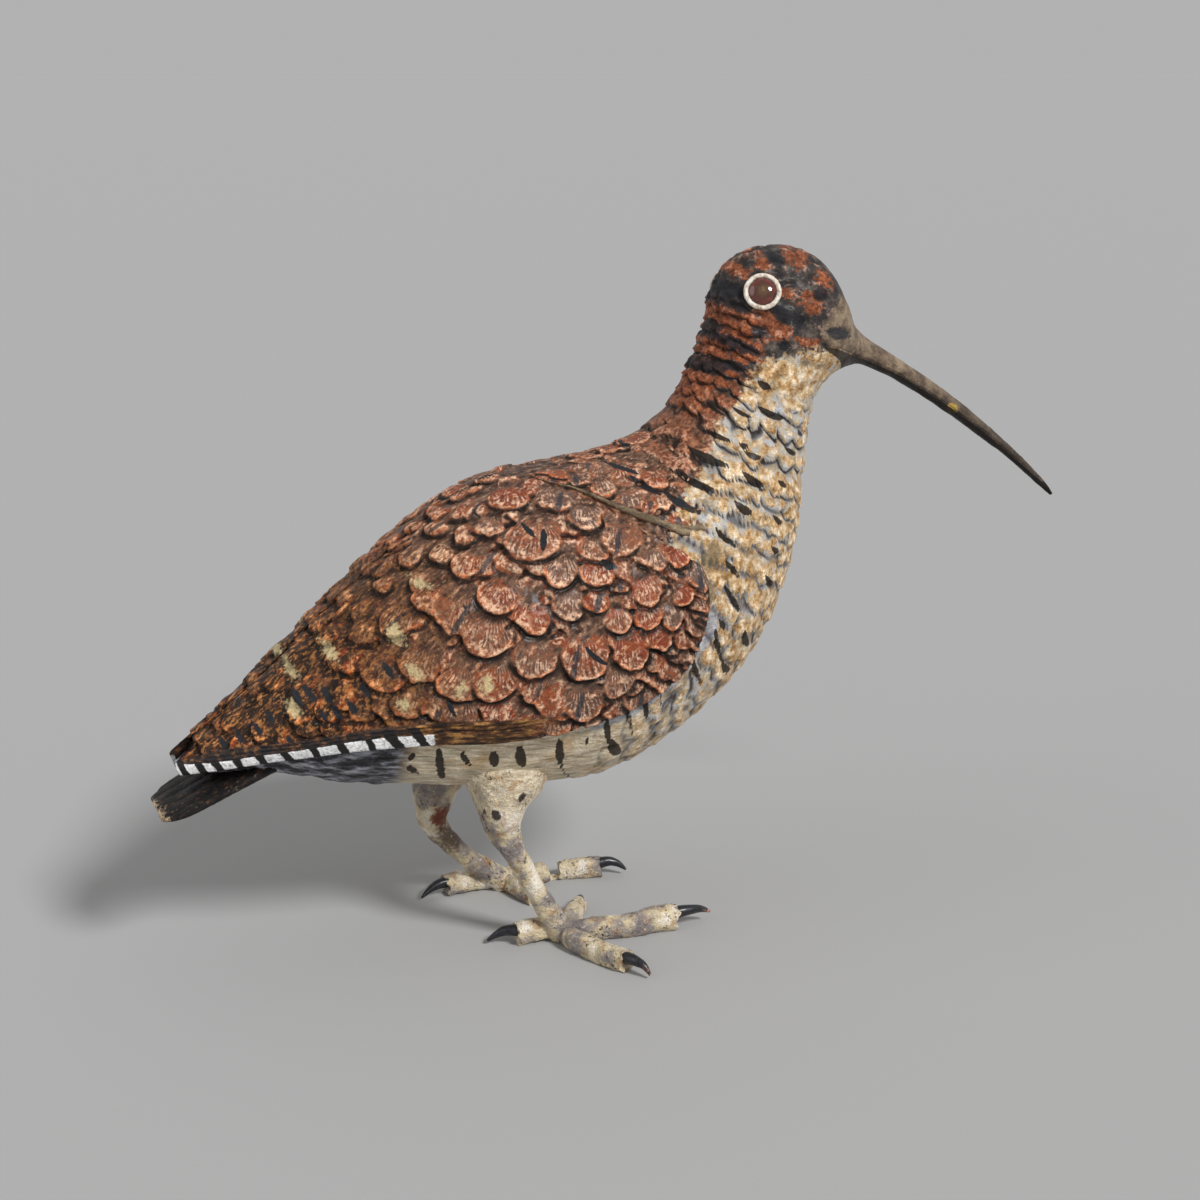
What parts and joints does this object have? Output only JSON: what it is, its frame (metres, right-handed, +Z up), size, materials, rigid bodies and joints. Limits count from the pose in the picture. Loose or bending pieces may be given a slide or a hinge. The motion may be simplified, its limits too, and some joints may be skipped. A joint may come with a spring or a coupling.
{
  "type": "shorebird decoy",
  "caption": "Life-size carved shorebird on its own feet, with a long down-curved bill, folded feathered wings, round glass eyes and a broken middle toe.",
  "frame": {"origin": "on the ground, below the middle of the bird's bounding box", "axes": "+X towards the bill, +Y to the bird's left, +Z up"},
  "size_m": [0.3538, 0.1212, 0.2479],
  "materials": {
    "painted_wood": "carved feathers, painted rust brown, charcoal and cream, satin, worn",
    "brown_glass": "polished, opaque dark brown"
  },
  "bodies": {
    "root": {"figure": "painted_wood", "right_eye": "brown_glass", "left_eye": "brown_glass"}
  },
  "joints": []
}
